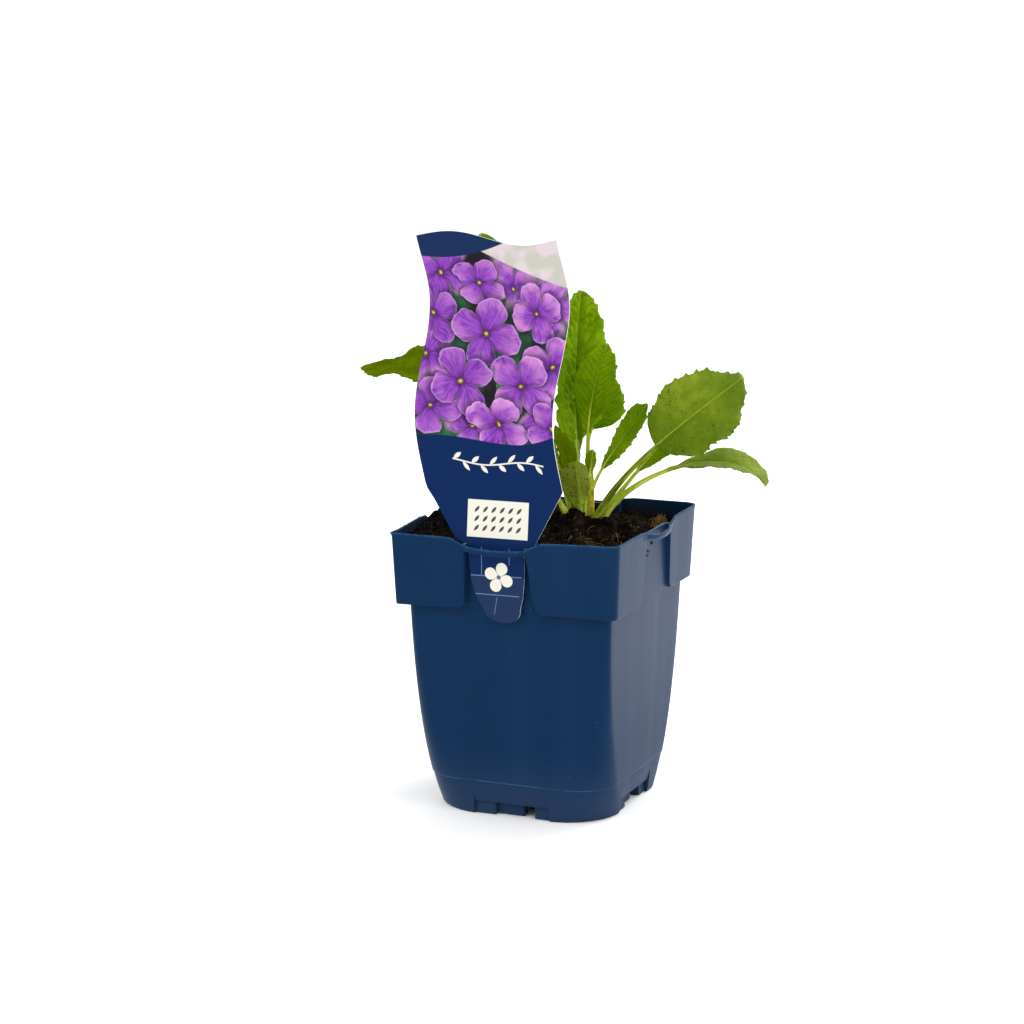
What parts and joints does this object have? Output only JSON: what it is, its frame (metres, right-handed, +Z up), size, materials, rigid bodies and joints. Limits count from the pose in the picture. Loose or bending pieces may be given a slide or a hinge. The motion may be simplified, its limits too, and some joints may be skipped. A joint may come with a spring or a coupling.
{
  "type": "potted dames rocket",
  "caption": "Square tapered nursery pot of soil with a rosette of toothed oval leaves on slender stalks and an upright wavy-edged plant tag held in a socket of its rim.",
  "frame": {"origin": "middle of the foot pad under the pot, on the surface that the pot stands on", "axes": "+Z up, the face of the pot that holds the tag looks along -Y, +X to the right of it"},
  "size_m": [0.1822, 0.1301, 0.2694],
  "materials": {
    "pot_plastic": "satin",
    "potting_soil": "matte",
    "root_crown": "matte",
    "leaf": "satin",
    "leaf_yellowed": "matte",
    "plant_tag": "satin"
  },
  "bodies": {
    "root": {"pot": "pot_plastic", "potting_soil": "potting_soil", "root_crown": "root_crown", "leaf_01": "leaf", "leaf_02": "leaf", "leaf_03": "leaf", "leaf_04": "leaf", "leaf_05": "leaf", "leaf_06": "leaf", "leaf_07": "leaf", "leaf_08": "leaf", "leaf_09": "leaf", "leaf_10": "leaf", "leaf_11": "leaf", "leaf_12": "leaf", "leaf_13": "leaf", "leaf_14": "leaf", "leaf_15_yellowed": "leaf_yellowed", "plant_tag": "plant_tag"}
  },
  "joints": []
}
